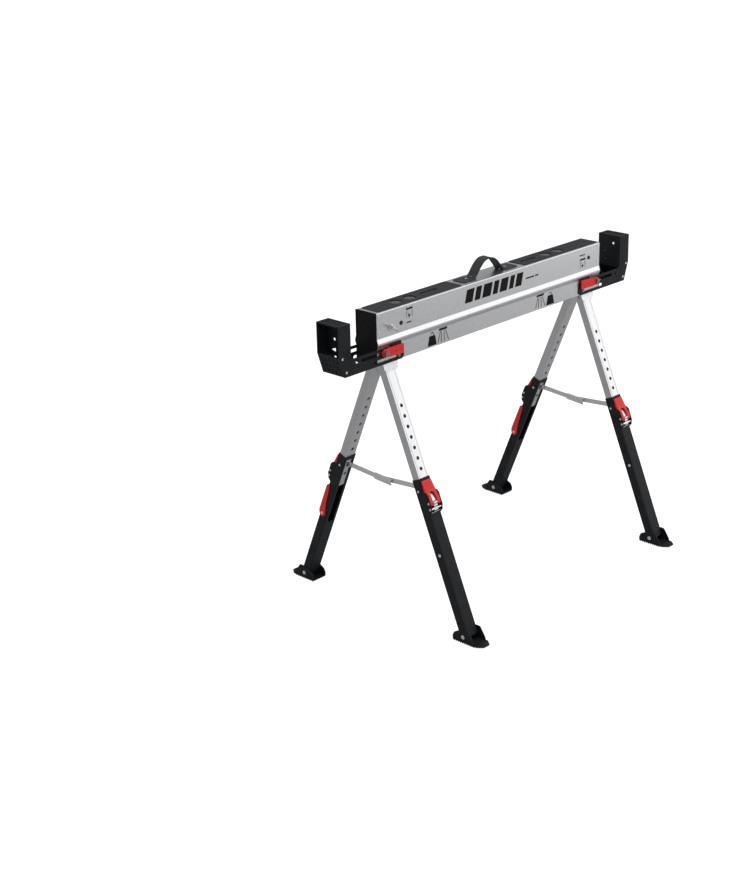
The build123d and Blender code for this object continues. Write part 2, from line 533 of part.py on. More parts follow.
def inner_tube(end, side):
    """Silver upper tube with its row of height holes, two shallow grooves and the spreader lug."""
    tube = box_tube(INNER_X, INNER_N, WALL, INNER_R, -INNER_END, -INNER_TOP)
    for i in range(HOLES):
        tube -= rod_y(HOLE_D / 2, -20, 20, 0, -(HOLE_S + HOLE_PITCH * i))
    for x in (-12.5, 12.5):
        tube -= block(x - 0.7, x + 0.7, INNER_N / 2 - 0.4, INNER_N / 2 + 1, -INNER_END - 1, 10)
    tube -= rod_x(SPLAY_PIN_D / 2 + PIN_FIT, -40, 40, 0, 0)
    lug_x = -BAR_T - CLEAR - LUG_T if SIDES[side] > 0 else BAR_T + 2 * CLEAR
    lug = block(lug_x, lug_x + LUG_T, LUG_N, -INNER_N / 2 + 0.5, -LUG_S - 5, -LUG_S + 5)
    lug += rod_x(LUG_R, lug_x, lug_x + LUG_T, LUG_N, -LUG_S)
    stud = (lug_x, -0.1) if SIDES[side] > 0 else (CLEAR + 0.1, lug_x + 0.1)
    lug += rod_x(PIN_D / 2, stud[0], stud[1], LUG_N, -LUG_S)
    return place_leg(tube + lug, end, side)


def latch_ears():
    ears = []
    s0, s1 = EAR_S
    root = TUBE_N / 2 - 2
    points = [(root, -s0 + 2), (EAR_N - 5, -s0), (EAR_N, -s0 - 8), (EAR_N, -s1 + 14), (EAR_N - 6, -s1)]
    points.append((root, -s1 - 6))
    for x in (-TUBE_X / 2, TUBE_X / 2 - WALL):
        ears.append(prism_x(points, x, x + WALL))
    return ears


def outer_tube(end, side):
    """Black lower tube with latch ears, the spreader slot and its pin holes."""
    tube = box_tube(TUBE_X, TUBE_N, WALL, TUBE_R, -TUBE_END, -TUBE_TOP)
    for ear in latch_ears():
        tube += ear
    end_z, half = -TUBE_END, TUBE_N / 2
    for sn in (-1, 1):
        corner = [(sn * half + sn, end_z + 6), (sn * (half - 7), end_z - 1), (sn * half + sn, end_z - 1)]
        tube -= prism_x(corner, -40, 40)
    slot_low = -(LUG_S + TRAVEL + LUG_R + 8)
    slot_top, wide = -(LUG_S - LUG_R - 4), LUG_SLOT_W / 2
    tube -= block(-wide, wide, -half - 1, -half + WALL + 1, slot_low, slot_top)
    for x in (-TUBE_X / 2 + 5, TUBE_X / 2 - 5):
        tube -= block(x - 0.8, x + 0.8, half - 0.5, half + 1, -TUBE_END - 1, -EAR_S[1] - 8)
    for s, n in ((LATCH_S, LATCH_N), (KEEP_S, KEEP_N), (FOOT_S, 0)):
        tube -= rod_x(PIN_D / 2, -40, 40, n, -s)
    tube -= rod_x(GUIDE_D / 2, -40, 40, GUIDE_N, -GUIDE_S)
    tube -= rod_x(PIN_D / 2, -40, 40, HOOK_N, -HOOK_S)
    return place_leg(tube, end, side)


def leg_pins(end, side):
    """Latch pin, spring pin, foot pin, stow hook rivets and the two small rivets at the tube mouth."""
    pins = []
    reach = TUBE_X / 2
    for s, n in ((LATCH_S, LATCH_N), (KEEP_S, KEEP_N)):
        pin = rod_x(PIN_D / 2, -reach - 1.2, reach + 1.2, n, -s)
        pins.append(pin)
    foot = rod_x(PIN_D / 2, -FOOT_OUT - CLEAR, FOOT_OUT + CLEAR, 0, -FOOT_S)
    for sx in (-1, 1):
        foot += rod_x(5.5, sx * (FOOT_OUT + CLEAR), sx * (FOOT_OUT + CLEAR + 1.2), 0, -FOOT_S)
        out = HOOK_OUT + CLEAR if side == "rear" else reach
        rivet = rod_x(PIN_D / 2, sx * (reach - WALL), sx * out, HOOK_N, -HOOK_S)
        pins.append(rivet + rod_x(4.2, sx * out, sx * (out + 1.0), HOOK_N, -HOOK_S))
        small = rod_x(GUIDE_D / 2, sx * (reach - WALL), sx * reach, GUIDE_N, -GUIDE_S)
        pins.append(small + rod_x(GUIDE_D / 2 + 1, sx * reach, sx * (reach + 0.8), GUIDE_N, -GUIDE_S))
    pins.append(foot)
    return [place_leg(pin, end, side) for pin in pins]


def latch_lever(end, side):
    """Red height latch: a thumb plate that forks round the catch and turns on the latch pin."""
    wide = TUBE_X / 2 - WALL - CLEAR
    under, n, z = TUBE_N / 2 + CLEAR, LATCH_N, -LATCH_S
    points = [(under, z + 57), (under + 3.2, z + 59), (n - 1, z + 31), (n + 3.5, z + 14), (n + 4.7, z)]
    points += [(n + 2.5, z - 7.5), (n - 2.5, z - 7.5), (n - 5, z), (n - 6.5, z + 21), (under, z + 41)]
    lever = prism_x(points, -wide, wide)
    fork = Pos(0, n + 10, z + 5) * Rot(X=90) * extrude(Rot(Z=90) * SlotOverall(46, 16), amount=40)
    lever -= fork
    for i in range(4):
        lever -= Pos(0, n - 2.3 + 0.55 * i, z + 51 - 4.2 * i) * Box(22, 2.4, 1.4)
    lever -= rod_x(PIN_D / 2 + PIN_FIT, -40, 40, LATCH_N, -LATCH_S)
    return place_leg(lever, end, side)


def stow_hook(end):
    """Red U-shaped lever on a rear leg, turning on two side rivets."""
    inside, outside = TUBE_X / 2 + CLEAR, HOOK_OUT
    n, z, crown = HOOK_N, -HOOK_S, TUBE_N / 2 + 4
    flange = [(crown, z + 89), (crown - 3, z + 92), (crown - 9, z + 91), (crown - 11, z + 84)]
    flange += [(crown - 16, z + 30), (n - 9, z), (crown, z + 4)]
    hook = block(-outside, outside, TUBE_N / 2 + FOOT_GAP, crown, z + 18, z + 86)
    for x in (-outside, inside):
        cheek = prism_x(flange, x, x + HOOK_T)
        cheek += rod_x(10, x, x + HOOK_T, n, z)
        hook += cheek
    hook -= block(-2.2, 2.2, crown - 1, crown + 1, z + 32, z + 68)
    hook -= rod_x(PIN_D / 2 + PIN_FIT, -40, 40, HOOK_N, -HOOK_S)
    return place_leg(hook, end, "rear")


def foot(end, side):
    """Swivel foot: two cheeks on the foot pin, a plate that runs outward, and a ribbed sole."""
    lean = radians(SPLAY)
    y, z = SPLAY_Y + FOOT_S * sin(lean), FOOT_PIN_Z
    inner, outer, half = y - 35, y + 58, FOOT_OUT
    plate = extrude(Pos(0, (inner + outer) / 2, 2.5) * Rectangle(2 * half, outer - inner), amount=FOOT_PLATE)
    for sx in (-1, 1):
        clip = [(sx * (half + 1), outer - 17), (sx * (half + 1), outer + 1), (sx * (half - 13), outer + 1)]
        plate -= extrude(make_face(Polyline(*clip, close=True)), amount=10)
    body = plate
    cheek = [(inner, 3), (inner, 14), (inner + 5, 24), (y - 17, 31), (y + 6, 38), (y + 17, 37), (y + 34, 12)]
    cheek.append((y + 36, 3))
    for x in (-half, half - FOOT_T):
        body += prism_x(cheek, x, x + FOOT_T)
    body -= rod_x(PIN_D / 2 + PIN_FIT, -40, 40, y, z)
    body -= rod_z(4.2, -1, 10, 11, y + 38)
    ribs = int((outer - inner - 14) // 7)
    for i in range(ribs):
        y0 = inner + 2 + 7 * i
        wide = half if y0 < outer - 24 else half - 8
        body += prism_x([(y0, 2.6), (y0 + 1.2, 0), (y0 + 3.4, 0), (y0 + 4.6, 2.6)], -wide, wide)
    body = Pos(LEG_X[end], 0, 0) * body
    return mirror(body, about=Plane.XZ) if SIDES[side] < 0 else body


# ---- spreaders ---------------------------------------------------------------------------------------
def lug_place():
    """y and z of the spreader lug of a rear leg."""
    lean = radians(SPLAY)
    return SPLAY_Y + LUG_S * sin(lean) + LUG_N * cos(lean), SPLAY_Z - LUG_S * cos(lean) + LUG_N * sin(lean)


def spreader_bar(x0, x1):
    """Flat bar from the rear lug to the middle joint, with a pivot hole at the lug."""
    y, z = lug_place()
    slope = atan2(SPREADER_SAG, y)
    length = y / cos(slope)
    bar = block(x0, x1, -length - 6, 0, -BAR_H / 2, BAR_H / 2) + rod_x(BAR_H / 2, x0, x1, 0, 0)
    bar -= rod_x(PIN_D / 2 + PIN_FIT, x0 - 9, x1 + 9, 0, 0)
    return bar, Pos(0, y, z) * Rot(X=degrees(slope)), length


def rear_spreader(end):
    """Rear bar with the stiffening sleeve that holds the spreader straight when open."""
    bar, place, length = spreader_bar(-BAR_T, 0)
    half = SLEEVE_L / 2
    face = block(-BAR_T - SLEEVE_T, -BAR_T, -length - half, -length + half, -SLEEVE_H / 2, SLEEVE_H / 2)
    for sz in (-1, 1):
        z0, z1 = sorted((sz * (SLEEVE_H / 2 - 2), sz * SLEEVE_H / 2))
        face += block(-BAR_T - SLEEVE_T, 0, -length - half, -length + half, z0, z1)
    face += rod_x(3.5, -BAR_T - SLEEVE_T - 1, -BAR_T, -length, 0)
    return Pos(LEG_X[end], 0, 0) * place * (bar + face)


def front_spreader(end):
    bar, place, _ = spreader_bar(CLEAR, CLEAR + BAR_T)
    return Pos(LEG_X[end], 0, 0) * mirror(place * bar, about=Plane.XZ)


def main():
    os.makedirs("parts", exist_ok=True)
    save(beam_shell(), "beam_shell")
    save(end_cap_rivets(), "end_cap_rivets")
    save(carry_handle(), "carry_handle")
    save(strap_rivets(), "strap_rivets")
    save(wing_bolt(), "wing_bolt")
    save(clamp_rods(), "clamp_rods")
    save(guide_pins(), "guide_pins")
    save(fold_pins(), "fold_pins")
    for end in ENDS:
        save(end_cap(end), f"end_cap_{end}")
        save(top_insert(end), f"top_insert_{end}")
        save(push_button(end), f"push_button_{end}")
        save(support_frame(end), f"support_frame_{end}")
        save(support_pad(end), f"support_pad_{end}")
        save(tread_plate(end), f"tread_plate_{end}")
        save(support_rivets(end), f"support_rivets_{end}")
        save(clamp_lever(end), f"clamp_lever_{end}")
        save(hinge_mount(end), f"hinge_mount_{end}")
        save(hinge_yoke(end), f"hinge_yoke_{end}")
        save(splay_pins(end), f"splay_pins_{end}")
        save(stow_hook(end), f"stow_hook_{end}")
        save(rear_spreader(end), f"spreader_rear_{end}")
        save(front_spreader(end), f"spreader_front_{end}")
        for side in SIDES:
            save(leg_head(end, side), f"leg_head_{side}_{end}")
            save(inner_tube(end, side), f"inner_tube_{side}_{end}")
            save(outer_tube(end, side), f"outer_tube_{side}_{end}")
            save(leg_pins(end, side), f"leg_pins_{side}_{end}")
            save(latch_lever(end, side), f"latch_lever_{side}_{end}")
            save(foot(end, side), f"foot_{side}_{end}")


main()
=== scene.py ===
import json
import math

import bmesh
import bpy
from mathutils import Matrix, Vector


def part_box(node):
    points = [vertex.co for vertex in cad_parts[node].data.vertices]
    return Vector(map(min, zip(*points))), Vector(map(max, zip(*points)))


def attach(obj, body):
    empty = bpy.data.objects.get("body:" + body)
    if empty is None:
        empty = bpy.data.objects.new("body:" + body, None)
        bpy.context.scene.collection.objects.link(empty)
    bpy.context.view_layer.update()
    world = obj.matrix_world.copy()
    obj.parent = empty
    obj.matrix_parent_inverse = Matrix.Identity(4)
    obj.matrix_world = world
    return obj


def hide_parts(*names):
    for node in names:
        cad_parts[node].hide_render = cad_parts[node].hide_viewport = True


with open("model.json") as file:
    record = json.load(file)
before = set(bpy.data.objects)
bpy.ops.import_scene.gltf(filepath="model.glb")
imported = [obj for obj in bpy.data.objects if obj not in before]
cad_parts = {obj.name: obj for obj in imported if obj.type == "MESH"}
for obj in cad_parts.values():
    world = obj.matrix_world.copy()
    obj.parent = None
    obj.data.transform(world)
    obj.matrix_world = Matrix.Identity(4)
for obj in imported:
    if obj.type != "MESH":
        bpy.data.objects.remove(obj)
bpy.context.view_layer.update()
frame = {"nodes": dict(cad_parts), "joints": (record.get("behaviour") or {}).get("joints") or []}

scene = bpy.context.scene
scene.view_settings.view_transform = "Standard"

eye = Vector((-3.2572, -2.7651, 1.9903))
heading, dip, tilt = math.radians(45.418), math.radians(20.800), -0.02571
ahead = Vector((math.sin(heading) * math.cos(dip), math.cos(heading) * math.cos(dip), -math.sin(dip)))
level = Vector((math.cos(heading), -math.sin(heading), 0))
above = level.cross(ahead)
right = level * math.cos(tilt) + above * math.sin(tilt)
upward = above * math.cos(tilt) - level * math.sin(tilt)
camera = bpy.data.objects.new("camera", bpy.data.cameras.new("camera"))
camera.data.sensor_width = 36.0
camera.data.lens = 69.297
camera.data.clip_end = 100
camera.matrix_world = Matrix.Translation(eye) @ Matrix((right, upward, -ahead)).transposed().to_4x4()
scene.collection.objects.link(camera)
scene.camera = camera


def soft_panel(name, place, aim, size, power):
    lamp = bpy.data.lights.new(name, "AREA")
    lamp.shape = "RECTANGLE"
    lamp.size, lamp.size_y = size
    lamp.energy = power
    panel = bpy.data.objects.new(name, lamp)
    panel.location = place
    panel.rotation_mode = "QUATERNION"
    panel.rotation_quaternion = (Vector(aim) - Vector(place)).to_track_quat("-Z", "Y")
    scene.collection.objects.link(panel)


soft_panel("overhead_panel", (-0.3, -0.4, 3.4), (0, 0, 0.5), (3.6, 3.0), 36)
soft_panel("right_panel", (2.9, -2.7, 1.6), (0, 0, 0.6), (4.2, 3.4), 56)
soft_panel("left_panel", (-3.6, 0.6, 2.2), (0, 0, 0.5), (2.2, 2.6), 13)

sky = bpy.data.worlds.new("studio_air")
sky.use_nodes = True
sky.node_tree.nodes["Background"].inputs["Color"].default_value = (0.96, 0.98, 1.0, 1)
sky.node_tree.nodes["Background"].inputs["Strength"].default_value = 0.42
scene.world = sky

floor_mesh = bpy.data.meshes.new("floor")
floor_mesh.from_pydata([(-30, -30, 0), (30, -30, 0), (30, 30, 0), (-30, 30, 0)], [], [(0, 1, 2, 3)])
floor = bpy.data.objects.new("floor", floor_mesh)
floor.location.z = -0.0003
scene.collection.objects.link(floor)
paint = bpy.data.materials.new("pale_floor")
paint.use_nodes = True
floor_shader = paint.node_tree.nodes["Principled BSDF"]
floor_shader.inputs["Base Color"].default_value = (0.55, 0.55, 0.55, 1)
floor_shader.inputs["Roughness"].default_value = 0.8
floor_shader.inputs["Specular IOR Level"].default_value = 0.1
floor_shader.inputs["Emission Color"].default_value = (1, 1, 1, 1)
seen = paint.node_tree.nodes.new("ShaderNodeLightPath")
lift = paint.node_tree.nodes.new("ShaderNodeMath")
lift.operation = "MULTIPLY"
lift.inputs[1].default_value = 0.86
paint.node_tree.links.new(seen.outputs["Is Camera Ray"], lift.inputs[0])
paint.node_tree.links.new(lift.outputs[0], floor_shader.inputs["Emission Strength"])
floor_mesh.materials.append(paint)

# Beam: one galvanised sheet folded to a channel that is open below, with a bead rolled along each side
# for stiffness. The rolled finish leaves fine lines along it and a faint mottle from the zinc.


def node(tree, kind, **settings):
    made = tree.nodes.new(kind)
    for name, value in settings.items():
        setattr(made, name, value)
    return made


def group_of(name, inputs, outputs):
    """An empty shader node group with its sockets; returns the tree and its two end nodes."""
    tree = bpy.data.node_groups.new(name, "ShaderNodeTree")
    for label, kind, value in inputs:
        socket = tree.interface.new_socket(label, in_out="INPUT", socket_type=kind)
        if value is not None:
            socket.default_value = value
    for label, kind in outputs:
        tree.interface.new_socket(label, in_out="OUTPUT", socket_type=kind)
    return tree, tree.nodes.new("NodeGroupInput"), tree.nodes.new("NodeGroupOutput")


def maths(tree, operation, a, b, clamp=False):
    made = node(tree, "ShaderNodeMath", operation=operation, use_clamp=clamp)
    for socket, value in zip(made.inputs, (a, b)):
        if isinstance(value, (int, float)):
            socket.default_value = value
        else:
            tree.links.new(value, socket)
    return made.outputs[0]


def blend_colour(tree, share, a, b):
    made = node(tree, "ShaderNodeMix", data_type="RGBA")
    tree.links.new(share, made.inputs["Factor"])
    for socket, value in ((made.inputs["A"], a), (made.inputs["B"], b)):
        if isinstance(value, tuple):
            socket.default_value = (*value, 1)
        else:
            tree.links.new(value, socket)
    return made.outputs["Result"]


def span(tree, value, low, high):
    """Maps a 0 to 1 value to a range."""
    made = node(tree, "ShaderNodeMapRange")
    tree.links.new(value, made.inputs["Value"])
    made.inputs["To Min"].default_value = low
    made.inputs["To Max"].default_value = high
    return made.outputs["Result"]


# Soft edges: the small radius that every folded, moulded or cast edge has, and a mask of those edges along
# which a painted highlight, with a little rub wear, makes the colour paler.
soft_edges, start, end = group_of(
    "soft_edges",
    [("Radius", "NodeSocketFloat", 0.0006), ("Rub", "NodeSocketFloat", 4.0)],
    [("Normal", "NodeSocketVector"), ("Edge", "NodeSocketFloat")],
)
rounding = node(soft_edges, "ShaderNodeBevel", samples=6)
soft_edges.links.new(start.outputs["Radius"], rounding.inputs["Radius"])
flat = node(soft_edges, "ShaderNodeNewGeometry")
facing = node(soft_edges, "ShaderNodeVectorMath", operation="DOT_PRODUCT")
soft_edges.links.new(rounding.outputs["Normal"], facing.inputs[0])
soft_edges.links.new(flat.outputs["Normal"], facing.inputs[1])
# This edge mask carries a painted highlight: the materials blend their colour paler along it.
turned = maths(soft_edges, "SUBTRACT", 1.0, facing.outputs["Value"])
soft_edges.links.new(maths(soft_edges, "MULTIPLY", turned, start.outputs["Rub"], True), end.inputs["Edge"])
soft_edges.links.new(rounding.outputs["Normal"], end.inputs["Normal"])

# Drawn grain: fine lines stretched along one axis, after the piece's own lean has been taken out.
drawn_grain, start, end = group_of(
    "drawn_grain",
    [("Lean", "NodeSocketFloat", 0.0), ("Stretch", "NodeSocketVector", (1, 1, 1))],
    [("Lines", "NodeSocketFloat"), ("Bands", "NodeSocketFloat")],
)
where = node(drawn_grain, "ShaderNodeTexCoord")
upright = node(drawn_grain, "ShaderNodeVectorRotate", rotation_type="X_AXIS")
drawn_grain.links.new(where.outputs["Object"], upright.inputs["Vector"])
drawn_grain.links.new(start.outputs["Lean"], upright.inputs["Angle"])
pulled = node(drawn_grain, "ShaderNodeVectorMath", operation="MULTIPLY")
drawn_grain.links.new(upright.outputs["Vector"], pulled.inputs[0])
drawn_grain.links.new(start.outputs["Stretch"], pulled.inputs[1])
for label, scale, detail in (("Lines", 1.0, 5.0), ("Bands", 0.13, 2.0)):
    noise = node(drawn_grain, "ShaderNodeTexNoise")
    noise.inputs["Scale"].default_value = scale
    noise.inputs["Detail"].default_value = detail
    drawn_grain.links.new(pulled.outputs["Vector"], noise.inputs["Vector"])
    drawn_grain.links.new(noise.outputs["Fac"], end.inputs[label])

# Zinc mottle: pale and dark patches a few millimetres across, over slow clouds of handling dullness.
zinc_mottle, start, end = group_of(
    "zinc_mottle",
    [("Scale", "NodeSocketFloat", 160.0)],
    [("Spangle", "NodeSocketFloat"), ("Clouds", "NodeSocketFloat")],
)
where = node(zinc_mottle, "ShaderNodeTexCoord")
crystals = node(zinc_mottle, "ShaderNodeTexVoronoi")
zinc_mottle.links.new(start.outputs["Scale"], crystals.inputs["Scale"])
zinc_mottle.links.new(where.outputs["Object"], crystals.inputs["Vector"])
shade = node(zinc_mottle, "ShaderNodeRGBToBW")
zinc_mottle.links.new(crystals.outputs["Color"], shade.inputs["Color"])
zinc_mottle.links.new(shade.outputs["Val"], end.inputs["Spangle"])
clouds = node(zinc_mottle, "ShaderNodeTexNoise")
clouds.inputs["Scale"].default_value = 7.0
clouds.inputs["Detail"].default_value = 3.0
zinc_mottle.links.new(where.outputs["Object"], clouds.inputs["Vector"])
zinc_mottle.links.new(clouds.outputs["Fac"], end.inputs["Clouds"])


def placed(tree, group, **values):
    made = node(tree, "ShaderNodeGroup", node_tree=group)
    for name, value in values.items():
        made.inputs[name.replace("_", " ")].default_value = value
    return made


def shader_of(name, made=None):
    """A material, new unless one is given, with its tree and its Principled shader."""
    made = made or bpy.data.materials.new(name)
    made.use_nodes = True
    return made, made.node_tree, made.node_tree.nodes["Principled BSDF"]


def bumped(tree, shader, height, normal, depth):
    bump = node(tree, "ShaderNodeBump")
    bump.inputs["Strength"].default_value = 1.0
    bump.inputs["Distance"].default_value = depth
    tree.links.new(height, bump.inputs["Height"])
    tree.links.new(normal, bump.inputs["Normal"])
    tree.links.new(bump.outputs["Normal"], shader.inputs["Normal"])


def bare_steel(name, dark, pale, rough, lean=0.0, stretch=(9, 900, 900), spangle=0.35, depth=0.00002):
    """Zinc-plated or galvanised steel with drawn lines, mottle, and edges painted brighter as a highlight,
    with a little rub wear.
    """
    made, tree, shader = shader_of(name)
    grain = placed(tree, drawn_grain, Lean=lean, Stretch=stretch)
    zinc = placed(tree, zinc_mottle)
    edges = placed(tree, soft_edges, Radius=0.0007, Rub=3.0)
    mottle = maths(tree, "MULTIPLY", zinc.outputs["Spangle"], spangle)
    lines = maths(tree, "MULTIPLY", grain.outputs["Lines"], 1.0 - spangle)
    tone = maths(tree, "ADD", mottle, lines)
    colour = blend_colour(tree, tone, dark, pale)
    # Painted highlight: the colour is blended paler along the edges, where light catches them.
    edge_sheen_colour = blend_colour(tree, edges.outputs["Edge"], colour, tuple(min(1, c * 1.18) for c in pale))
    tree.links.new(edge_sheen_colour, shader.inputs["Base Color"])
    shader.inputs["Metallic"].default_value = 1.0
    shader.inputs["Anisotropic"].default_value = 0.3
    clouds = maths(tree, "ADD", zinc.outputs["Clouds"], grain.outputs["Bands"])
    tree.links.new(span(tree, maths(tree, "MULTIPLY", clouds, 0.5), *rough), shader.inputs["Roughness"])
    bumped(tree, shader, tone, edges.outputs["Normal"], depth)
    return made


def dress(names, material):
    for name in names:
        mesh = frame["nodes"][name].data
        mesh.materials.clear()
        mesh.materials.append(material)


beam_steel = bare_steel("beam_steel", (0.58, 0.58, 0.59), (0.74, 0.74, 0.75), (0.24, 0.42))
dress(["beam_shell"], beam_steel)

# Printed marks: generic pictures in black ink on the front of the beam, a tenth of a millimetre thick. They
# stand where a maker would print a name and the signs for pressing the buttons and for the load.
PRINT_FACE = -0.0345


def finished(name, shape, material, body, bevel=0.0, nodes=()):
    """Turns a bmesh into a piece that rides on a body, with its finish and the nodes it stands for."""
    bmesh.ops.remove_doubles(shape, verts=shape.verts, dist=1e-6)
    bmesh.ops.recalc_face_normals(shape, faces=shape.faces)
    mesh = bpy.data.meshes.new(name)
    shape.to_mesh(mesh)
    shape.free()
    piece = bpy.data.objects.new(name, mesh)
    scene.collection.objects.link(piece)
    mesh.materials.append(material)
    if bevel:
        rounding = piece.modifiers.new("rounding", "BEVEL")
        rounding.width, rounding.segments = bevel, 3
        rounding.limit_method, rounding.angle_limit = "ANGLE", math.radians(32)
        mesh.shade_smooth()
        piece.modifiers.new("weighting", "WEIGHTED_NORMAL")
    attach(piece, body)
    if nodes:
        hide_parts(*nodes)
    return piece


def add_loft(shape, rings, place=Matrix.Identity(4)):
    """Skins a row of rings of equal count, each a loop of points, and caps both ends."""
    rows = [[shape.verts.new(place @ Vector(point)) for point in ring] for ring in rings]
    for low, high in zip(rows, rows[1:]):
        for i in range(len(low)):
            j = (i + 1) % len(low)
            shape.faces.new((low[i], low[j], high[j], high[i]))
    shape.faces.new(rows[0])
    shape.faces.new(rows[-1])


def add_print(shape, outline):
    """One printed area, from its (x, z) outline in millimetres."""
    lifts = (0.00002, 0.00014)
    rings = [[(x / 1000, PRINT_FACE - lift, z / 1000) for x, z in outline] for lift in lifts]
    add_loft(shape, rings)


def bar(x0, z0, x1, z1, skew=0.0):
    return [(x0, z0), (x1, z0), (x1 + skew, z1), (x0 + skew, z1)]


def disc(x, z, radius, count=28):
    turn = [2 * math.pi * i / count for i in range(count)]
    return [(x + radius * math.cos(a), z + radius * math.sin(a)) for a in turn]


ARC_STEPS = 20

ink = bpy.data.materials.new("printing_ink")
marks = bmesh.new()
for x, wide in ((-122, 30), (-84, 22), (-54, 34), (-12, 20), (16, 30), (54, 18), (80, 26)):
    add_print(marks, bar(x, 771, x + wide, 806, 9))
add_print(marks, bar(125, 783, 160, 787))
add_print(marks, bar(164, 783, 178, 787))
for x, z in ((-343, 807), (361, 786)):
    add_print(marks, bar(x, z - 2, x + 24, z + 3))
    add_print(marks, bar(x + 1, z - 22, x + 2.4, z - 4))
    add_print(marks, bar(x + 21.6, z - 22, x + 23, z - 4))
    add_print(marks, [(x + 5, z - 5), (x + 12, z - 21), (x + 13, z - 18)])
    add_print(marks, [(x + 10, z - 24), (x + 17, z - 15), (x + 7, z - 15)])
add_print(marks, bar(-342, 771, -324, 774))
add_print(marks, bar(359, 797, 383, 800))
for weight, trestle in ((-248, -206), (231, 188)):
    x = weight
    add_print(marks, [(x - 17, 690), (x + 17, 690), (x + 11, 716), (x - 11, 716)])
    for i in range(ARC_STEPS):
        a, b = (math.pi * (1.12 + 1.76 * k / ARC_STEPS) for k in (i, i + 1))
        arc = [(x + r * math.cos(q), 719 - r * math.sin(q)) for r, q in ((4, a), (4, b), (6.4, b), (6.4, a))]
        add_print(marks, arc)
    x = trestle
    add_print(marks, [(x - 17, 722), (x + 14, 722), (x + 16, 728), (x - 15, 728)])
    for foot, top in ((-20, -11), (-8, -7), (4, 3), (20, 9)):
        lines = [(x + foot - 1, 692), (x + foot + 1.4, 692), (x + top + 1, 720), (x + top - 1, 720)]
        add_print(marks, lines)
finished("printed_marks", marks, ink, "beam")

# End caps: moulded black plastic plugs, pushed into the two ends of the beam.
# Four small steel rivets through the beam sheet hold each one.


def moulded(
    name, colour, pale, rough, edge=0.35, grain=900.0, depth=0.00003, coat=0.0, gleam=0.25, made=None
):
    """Moulded plastic or powder coat: fine pebbled skin, slight mottle, edges painted paler as a highlight,
    with a little rub wear.
    """
    made, tree, shader = shader_of(name, made)
    skin = placed(tree, pebbled_skin, Scale=grain)
    edges = placed(tree, soft_edges, Radius=0.0006, Rub=5.0)
    body = blend_colour(tree, maths(tree, "MULTIPLY", skin.outputs["Mottle"], 0.25), colour, pale)
    # Painted highlight: a share of the pale colour along the edges, where light catches them.
    edge_sheen_share = maths(tree, "MULTIPLY", edges.outputs["Edge"], edge)
    tree.links.new(blend_colour(tree, edge_sheen_share, body, pale), shader.inputs["Base Color"])
    tree.links.new(span(tree, skin.outputs["Mottle"], *rough), shader.inputs["Roughness"])
    shader.inputs["Specular IOR Level"].default_value = gleam
    shader.inputs["Coat Weight"].default_value = coat
    shader.inputs["Coat Roughness"].default_value = 0.2
    bumped(tree, shader, skin.outputs["Height"], edges.outputs["Normal"], depth)
    return made


pebbled_skin, start, end = group_of(
    "pebbled_skin",
    [("Scale", "NodeSocketFloat", 900.0)],
    [("Height", "NodeSocketFloat"), ("Mottle", "NodeSocketFloat")],
)
where = node(pebbled_skin, "ShaderNodeTexCoord")
pebbles = node(pebbled_skin, "ShaderNodeTexNoise")
pebbles.inputs["Detail"].default_value = 2.0
pebbled_skin.links.new(start.outputs["Scale"], pebbles.inputs["Scale"])
pebbled_skin.links.new(where.outputs["Object"], pebbles.inputs["Vector"])
pebbled_skin.links.new(pebbles.outputs["Fac"], end.inputs["Height"])
patches = node(pebbled_skin, "ShaderNodeTexNoise")
patches.inputs["Scale"].default_value = 35.0
patches.inputs["Detail"].default_value = 6.0
pebbled_skin.links.new(where.outputs["Object"], patches.inputs["Vector"])
pebbled_skin.links.new(patches.outputs["Fac"], end.inputs["Mottle"])

moulded("printing_ink", (0.006, 0.006, 0.006), (0.02, 0.02, 0.02), (0.5, 0.65), edge=0.0, gleam=0.1, made=ink)
cap_plastic = moulded("cap_plastic", (0.006, 0.0065, 0.007), (0.035, 0.037, 0.04), (0.42, 0.58), gleam=0.12)
dress(["end_cap_left", "end_cap_right"], cap_plastic)
rivet_steel = bare_steel("rivet_steel", (0.72, 0.72, 0.73), (0.88, 0.88, 0.89), (0.2, 0.35), spangle=0.2)
dress(["end_cap_rivets"], rivet_steel)

# Top inserts: thick matte plastic panels let into the beam top, with two cups and a slot each. Inside each
# opening the steel lip of the beam shows as a bright band below the plastic.
insert_plastic = moulded(
    "insert_plastic", (0.022, 0.023, 0.027), (0.075, 0.077, 0.085), (0.5, 0.68), grain=1300
)
tree = insert_plastic.node_tree
shader = tree.nodes["Principled BSDF"]
where = node(tree, "ShaderNodeTexCoord")
split = node(tree, "ShaderNodeSeparateXYZ")
tree.links.new(where.outputs["Object"], split.inputs["Vector"])
lip = maths(tree, "LESS_THAN", split.outputs["Z"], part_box("top_insert_left")[1][2] - 0.0038)
plain = shader.inputs["Base Color"].links[0].from_socket
tree.links.new(blend_colour(tree, lip, plain, (0.42, 0.42, 0.43)), shader.inputs["Base Color"])
tree.links.new(maths(tree, "MULTIPLY", lip, 0.8), shader.inputs["Metallic"])
dress(["top_insert_left", "top_insert_right"], insert_plastic)

# Carry handle: a flexible plastic strap in one piece with its two end pads, held by four rivets. The band
# has a thicker rim along both sides.
strap_plastic = moulded("strap_plastic", (0.022, 0.023, 0.027), (0.15, 0.155, 0.17), (0.42, 0.6), edge=0.8)
low_corner, high_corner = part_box("carry_handle")
strap_floor, strap_top = low_corner[2], high_corner[2]


def between(points, share):
    """A point on the smooth curve through the given points, at a share of the way along."""
    place = share * (len(points) - 1)
    i = min(int(place), len(points) - 2)
    f = place - i
    a, b, c, d = (Vector(points[min(max(i + k, 0), len(points) - 1)]) for k in (-1, 0, 1, 2))
    curved, cubic = 2 * a - 5 * b + 4 * c - d, 3 * b - a - 3 * c + d
    return 0.5 * (2 * b + (c - a) * f + curved * f * f + cubic * f ** 3)


